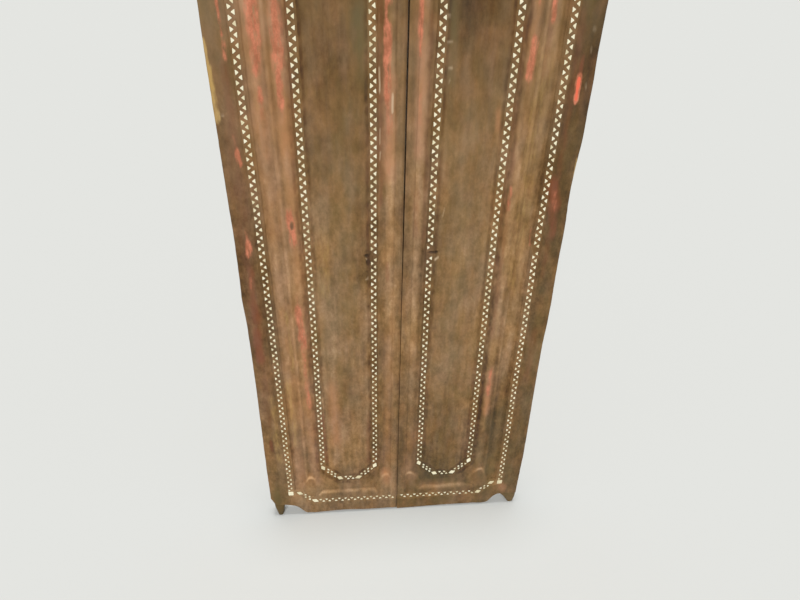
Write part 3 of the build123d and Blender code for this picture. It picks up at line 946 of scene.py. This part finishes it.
def closeLeaf(side, front, index):
    # walls of the plank, ring by ring from the front rim to the back
    seed, thick = seeds[side]["wall"], plank["thick"]
    across, depth, up, tone = front
    quads = np.stack([index[:-1, :-1], index[:-1, 1:], index[1:, 1:], index[1:, :-1]], -1).reshape(-1, 4)
    faces = quads.tolist()
    rim = np.concatenate([index[0], index[1:, -1], index[-1, -2::-1], index[-2:0:-1, 0]])
    line = np.stack([across[rim], up[rim]], 1)
    along = np.roll(line, -1, 0) - np.roll(line, 1, 0)
    along /= np.maximum(np.linalg.norm(along, axis=1), 1e-6)[:, None]
    inward = np.stack([-along[:, 1], along[:, 0]], 1)
    parts, total = [front], len(across)
    previous, ringSize = rim, len(rim)
    after = np.roll(np.arange(ringSize), -1)
    for share, inset in plank["wall"]:
        step = seed + int(share * 20)
        rough = 0.35 * noiseField(*line.T, 30, 34, step) * (share < 0.9)
        spot = line + inward * (inset + rough)[:, None]
        wallTone = 0.40 + 0.07 * noiseField(*line.T, 12, 120, step + 40)
        parts.append((spot[:, 0], depth[rim] + (thick - depth[rim]) * share, spot[:, 1], wallTone))
        ring = np.arange(total, total + ringSize)
        total += ringSize
        faces += np.stack([previous, ring, ring[after], previous[after]], 1).tolist()
        previous = ring

    # back of the plank: adze-smoothed, a coarse net stitched to the last ring
    edge = np.stack([parts[-1][0], parts[-1][2]], 1)
    netA, netZ = np.meshgrid(np.arange(14, plank["width"] - 8, 11.0), np.arange(8, plank["height"] - 4, 15.0))
    netLow = fold(netZ)
    keep = (netLow > notchLine(netA, side) + 9) & ((netA > 118) | (netLow > 58))
    keep &= edgeShift(netA * 0, netZ, side) < netA - 6
    points = np.concatenate([edge, np.stack([netA[keep], netZ[keep]], 1)]).tolist()
    outline = [list(range(ringSize))]
    flat = delaunay_2d_cdt([Vector(point) for point in points], [], outline, 1, 1e-6)
    names, extra = [], []
    for place, sources in zip(flat[0], flat[3]):
        if sources and sources[0] < ringSize:
            names.append(int(previous[sources[0]]))
        else:
            names.append(total + len(extra))
            extra.append(tuple(place))
    extra = np.array(extra).T
    scoop = layered(*extra, seed, plank["backNoise"])
    backTone = 0.42 + 0.10 * noiseField(*extra, 24, 320, seed + 92)
    parts.append((extra[0], thick - 0.55 + scoop * 0.5, extra[1], backTone))
    faces += [tuple(names[corner] for corner in face) for face in flat[2]]
    return [np.concatenate(values) for values in zip(*parts)], faces


def paintLeaf(side, mesh, across, depth, up, tones, regions):
    # masks of the wood's finish; the pintles come last and take one stain
    seed, carved = seeds[side]["wall"], len(across)
    front = unit(1 - (depth - 12) / 10)
    dark = stainMask("dark", across, up, side)
    masks = {"tone": np.array(tones)}
    masks["tone"][:carved] += (stainMask("light", across, up, side) - dark) * front
    drift = layered(across, up, seed, plank["hueDrift"])
    changing = {"blush": 0.13 * unit(drift), "olive": 0.16 * unit(-drift)}
    # the darker band beside the rows, painted shade round the sunk field, also turns ruddy
    fringe = 0.27 * np.minimum(regions["fringe"], 1.0).ravel()
    for kind in ("paint", "blush", "ruddy", "ochre", "pale", "olive"):
        stain = (stainMask(kind, across, up, side) + changing.get(kind, 0)) * front
        if kind == "paint":
            stain = stain * unit(1 - 1.6 * dark)
        if kind == "olive":
            stain = np.maximum(stain, 0.35 * (1 - front))
        if kind == "ruddy":
            stain[:len(fringe)] = np.maximum(stain[:len(fringe)], fringe)
        masks[kind] = np.concatenate([stain, np.full(len(tones) - carved, 0.5 if kind == "olive" else 0.0)])
    for name, values in masks.items():
        addLayer(mesh, name, "FLOAT", "value", values)


def makeLeaf(side):
    front, regions, index = carveFront(side)
    (across, depth, up, tone), faces = closeLeaf(side, front, index)
    x = sides[side] * (plank["half"] - across)
    place = np.stack([x, depth - plank["thick"] / 2, up + plank["drop"]], 1)
    verts, tones = [tuple(point) for point in place.tolist()], tone.tolist()
    for atHead in (False, True):
        makePintle(side, atHead, verts, faces, tones)
    mesh = bpy.data.meshes.new(side + "CarvedLeaf")
    mesh.from_pydata([(x * mm, y * mm, z * mm) for x, y, z in verts], [], faces)
    paintLeaf(side, mesh, across, depth, up, tones, regions)
    shaping = bmesh.new()
    shaping.from_mesh(mesh)
    bmesh.ops.recalc_face_normals(shaping, faces=shaping.faces[:])
    for face in shaping.faces:
        face.smooth = True
    shaping.to_mesh(mesh)
    shaping.free()
    mesh.materials.append(agedWood)
    leaf = addObject(side + "CarvedLeaf", mesh)
    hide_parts(side + "_leaf")
    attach(leaf, side + "_leaf_body")
    mesh.calc_loop_triangles()
    print(side, "leaf carved, triangles:", len(mesh.loop_triangles))


for side in sides:
    makeLeaf(side)

# shell finish: cream with a little pearl, each piece its own tone
shellFinish = {
    "tones": [(0, (168, 146, 108)), (0.1, (222, 208, 168)), (0.45, (244, 235, 198)), (1, (252, 246, 218))],
    "noise": (260, (1, 1, 1), 4, 0.5),
    "noiseShare": 0.4,
    "roughness": (0.25, 0.42),
    "coat": {"Coat Weight": 0.25, "Coat Roughness": 0.2},
    "bump": {"Strength": 0.2, "Distance": 0.0006},
}


def makeShell(opts):
    material, tree, shader = addMaterial("creamShell")
    cloud, share = noise(tree, *opts["noise"]), opts["noiseShare"]
    lower = maths(tree, "SUBTRACT", mask(tree, "shellTone"), share / 2)
    colour = ramp(tree, maths(tree, "MULTIPLY_ADD", cloud, share, lower), opts["tones"])
    least, most = opts["roughness"]
    gloss = addNode(tree, "ShaderNodeMapRange", {"Value": cloud, "To Min": least, "To Max": most}, "Result")
    bump = addNode(tree, "ShaderNodeBump", {**opts["bump"], "Height": cloud})
    feed(tree, shader, {"Base Color": colour, "Roughness": gloss, "Normal": bump, **opts["coat"]})
    return material


creamShell = makeShell(shellFinish)

# shell slips, set on points read from the solids' rows
shells = {
    "triangles": {
        "rows": (
            "border_side", "border_foot", "border_head",
            "panel_outer", "panel_inner", "panel_foot", "panel_head",
        ),
        "Sides": 3,
    },
    "corners": {"rows": ("border_corner", "panel_corner"), "Sides": 4},
    "Corner": 0.12,
    "Thickness": 0.0024,
    "Chamfer": 0.0005,
    "Top share": 0.86,
    "Turn wobble": 0.10,
    "Least size": 0.93,
    "Most size": 1.09,
    "Shift": 0.0005,
    "Seed": 7,
    "Finish": creamShell,
    # size of the slips in a row, and of those in the upright rows from one height to another
    "shares": {
        "border_foot": 0.80, "border_head": 0.80, "panel_foot": 0.78, "panel_head": 0.78,
        "border_corner": 0.95, "panel_corner": 0.95,
    },
    "footShare": [(200.0, 0.78), (1250.0, 1.0)],
    "tones": (0.15, 1.0),
}


def makeShellTree():
    tree = bpy.data.node_groups.new("shellRow", "GeometryNodeTree")
    kinds = {"Geometry": ["Geometry"], "Int": ["Sides", "Seed"], "Material": ["Finish"]}
    kinds["Float"] = ["Corner", "Thickness", "Chamfer", "Top share", "Shift"]
    kinds["Float"] += ["Turn wobble", "Least size", "Most size"]
    for kind, names in kinds.items():
        for name in names:
            tree.interface.new_socket(name, in_out="INPUT", socket_type="NodeSocket" + kind)
    tree.interface.new_socket("Geometry", in_out="OUTPUT", socket_type="NodeSocketGeometry")
    given = tree.nodes.new("NodeGroupInput").outputs

    def add(kind, inputs, out=0, **settings):
        return addNode(tree, kind, inputs, out, **settings)

    def wobble(low, high, offset):
        inputs = {2: low, 3: high, "Seed": maths(tree, "ADD", given["Seed"], offset)}
        return add("FunctionNodeRandomValue", inputs, 1, data_type="FLOAT")

    def bothWays(name, offset):
        return wobble(maths(tree, "MULTIPLY", given[name], -1.0), given[name], offset)

    def raised(inputs, height):
        inputs = {**inputs, "Individual": False, "Offset": upward, "Offset Scale": height}
        return add("GeometryNodeExtrudeMesh", inputs, "Mesh", mode="FACES")

    def stored(name, kind):
        return add("GeometryNodeInputNamedAttribute", {"Name": name}, "Attribute", data_type=kind)

    # one slip: outline with clipped corners, a wall, and a chamfered top
    upward = add("ShaderNodeCombineXYZ", {"Z": 1.0})
    ring = {"Radius": 1.0, "Resolution": given["Sides"]}
    ring = add("GeometryNodeCurvePrimitiveCircle", ring, "Curve", mode="RADIUS")
    clip = {"Curve": ring, "Count": 1, "Radius": given["Corner"]}
    clip = add("GeometryNodeFilletCurve", clip, "Curve", mode="POLY")
    fill = add("GeometryNodeFillCurve", {"Curve": clip}, "Mesh", mode="NGONS")
    wall = raised({"Mesh": fill}, maths(tree, "SUBTRACT", given["Thickness"], given["Chamfer"]))
    top = raised({"Mesh": wall, "Selection": wall.node.outputs["Top"]}, given["Chamfer"])
    narrow = {"Geometry": top, "Selection": top.node.outputs["Top"], "Scale": given["Top share"]}
    narrow = add("GeometryNodeScaleElements", narrow, "Geometry", domain="FACE")
    whole = add("GeometryNodeJoinGeometry", {"Geometry": add("GeometryNodeFlipFaces", {"Mesh": fill})})
    feed(tree, whole.node, {"Geometry": narrow})
    closed = add("GeometryNodeMergeByDistance", {"Geometry": whole, "Distance": 0.00001})
    facets = add("GeometryNodeSetShadeSmooth", {"Geometry": closed, "Shade Smooth": False})

    # the row: each slip shifted, turned and sized a little by chance
    shift = add("ShaderNodeCombineXYZ", {"X": bothWays("Shift", 1), "Z": bothWays("Shift", 2)})
    loose = add("GeometryNodeSetPosition", {"Geometry": given["Geometry"], "Offset": shift})
    turned = maths(tree, "SUBTRACT", bothWays("Turn wobble", 3), stored("turn", "FLOAT"))
    angles = add("ShaderNodeCombineXYZ", {"X": math.pi / 2, "Y": turned})
    across, along = (wobble(given["Least size"], given["Most size"], offset) for offset in (4, 5))
    size = add("ShaderNodeCombineXYZ", {"X": across, "Y": along, "Z": 1.0})
    scaled = {0: stored("reach", "FLOAT_VECTOR"), 1: size}
    scaled = add("ShaderNodeVectorMath", scaled, operation="MULTIPLY")
    row = {"Points": loose, "Instance": facets, "Rotation": angles, "Scale": scaled}
    row = add("GeometryNodeInstanceOnPoints", row, "Instances")
    tint = {"Geometry": row, "Name": "shellTone", "Value": wobble(*shells["tones"], 6)}
    tint = add("GeometryNodeStoreNamedAttribute", tint, data_type="FLOAT", domain="INSTANCE")
    real = add("GeometryNodeRealizeInstances", {"Geometry": tint})
    coat = add("GeometryNodeSetMaterial", {"Geometry": real, "Material": given["Finish"]})
    feed(tree, tree.nodes.new("NodeGroupOutput"), {"Geometry": coat})
    return tree


shellTree = makeShellTree()


def slipPlaces(nodeName):
    # middle, turn and reach of every slip in a solid's mesh, from the corners of its front face
    shape = bmesh.new()
    shape.from_mesh(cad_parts[nodeName].data)
    bmesh.ops.remove_doubles(shape, verts=shape.verts[:], dist=0.00001)
    seen, places = set(), []
    for vert in shape.verts:
        if vert in seen:
            continue
        island, queue = [], [vert]
        seen.add(vert)
        while queue:
            current = queue.pop()
            island.append(current.co.copy())
            for edge in current.link_edges:
                other = edge.other_vert(current)
                if other not in seen:
                    seen.add(other)
                    queue.append(other)
        front = min(p.y for p in island)
        floor = max(p.y for p in island)
        corners = [Vector((p.x, p.z)) for p in island if p.y < (front + floor) / 2]
        middle = sum(corners, Vector((0, 0))) / len(corners)
        if len(corners) == 3:
            spans = [(corners[i - 1] - corners[i - 2]).length for i in range(3)]
            widest = max(range(3), key=lambda i: spans[i])
            toward = corners[widest] - middle
            reach = (toward.length, spans[widest] / math.sqrt(3), 1.0)
        else:
            corners.sort(key=lambda p: math.atan2(p.y - middle.y, p.x - middle.x))
            spans = [corners[2] - corners[0], corners[3] - corners[1]]
            spans.sort(key=lambda span: -span.length)
            toward = spans[0]
            reach = (spans[0].length / 2, spans[1].length / 2, 1.0)
        places.append(((middle.x, floor, middle.y), math.atan2(toward.y, toward.x), reach))
    shape.free()
    return places


def makeShells(side, group):
    opts = {**shells, **shells[group]}
    if side == "right":
        opts["Seed"] += 100
    nodeNames = [f"{side}_{row}_shells" for row in opts["rows"]]
    spots, turns, reaches = [], [], []
    for name, row in zip(nodeNames, opts["rows"]):
        for (x, y, z), turn, (length, width, depth) in slipPlaces(name):
            up = z / mm - plank["drop"]
            share = opts["shares"].get(row) or lineThrough(opts["footShare"], up)
            stray = float(rowStray(np.array(plank["half"] - abs(x) / mm), np.array(up), side)) * mm
            spots.append((x - math.copysign(1, x) * stray, y, z))
            turns.append(turn)
            reaches.append((length * share, width * share, depth))
    mesh = bpy.data.meshes.new("slipPlaces")
    mesh.from_pydata(spots, [], [])
    addLayer(mesh, "turn", "FLOAT", "value", turns)
    addLayer(mesh, "reach", "FLOAT_VECTOR", "vector", reaches)
    piece = addObject(f"{side}Shell{group.capitalize()}", mesh)
    modifier = piece.modifiers.new("shellRow", "NODES")
    modifier.node_group = shellTree
    for item in shellTree.interface.items_tree:
        if item.in_out == "INPUT" and item.name != "Geometry":
            modifier[item.identifier] = opts[item.name]
    bpy.context.view_layer.update()
    graph = bpy.context.evaluated_depsgraph_get()
    whole = piece.evaluated_get(graph)
    solid = bpy.data.meshes.new_from_object(whole, preserve_all_data_layers=True, depsgraph=graph)
    piece.modifiers.remove(modifier)
    piece.data = solid
    bpy.data.meshes.remove(mesh)
    solid.name = piece.name
    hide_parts(*nodeNames)
    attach(piece, side + "_leaf_body")
    print(piece.name, "slips:", len(spots), "faces:", len(solid.polygons))


for side in sides:
    for group in ("triangles", "corners"):
        makeShells(side, group)
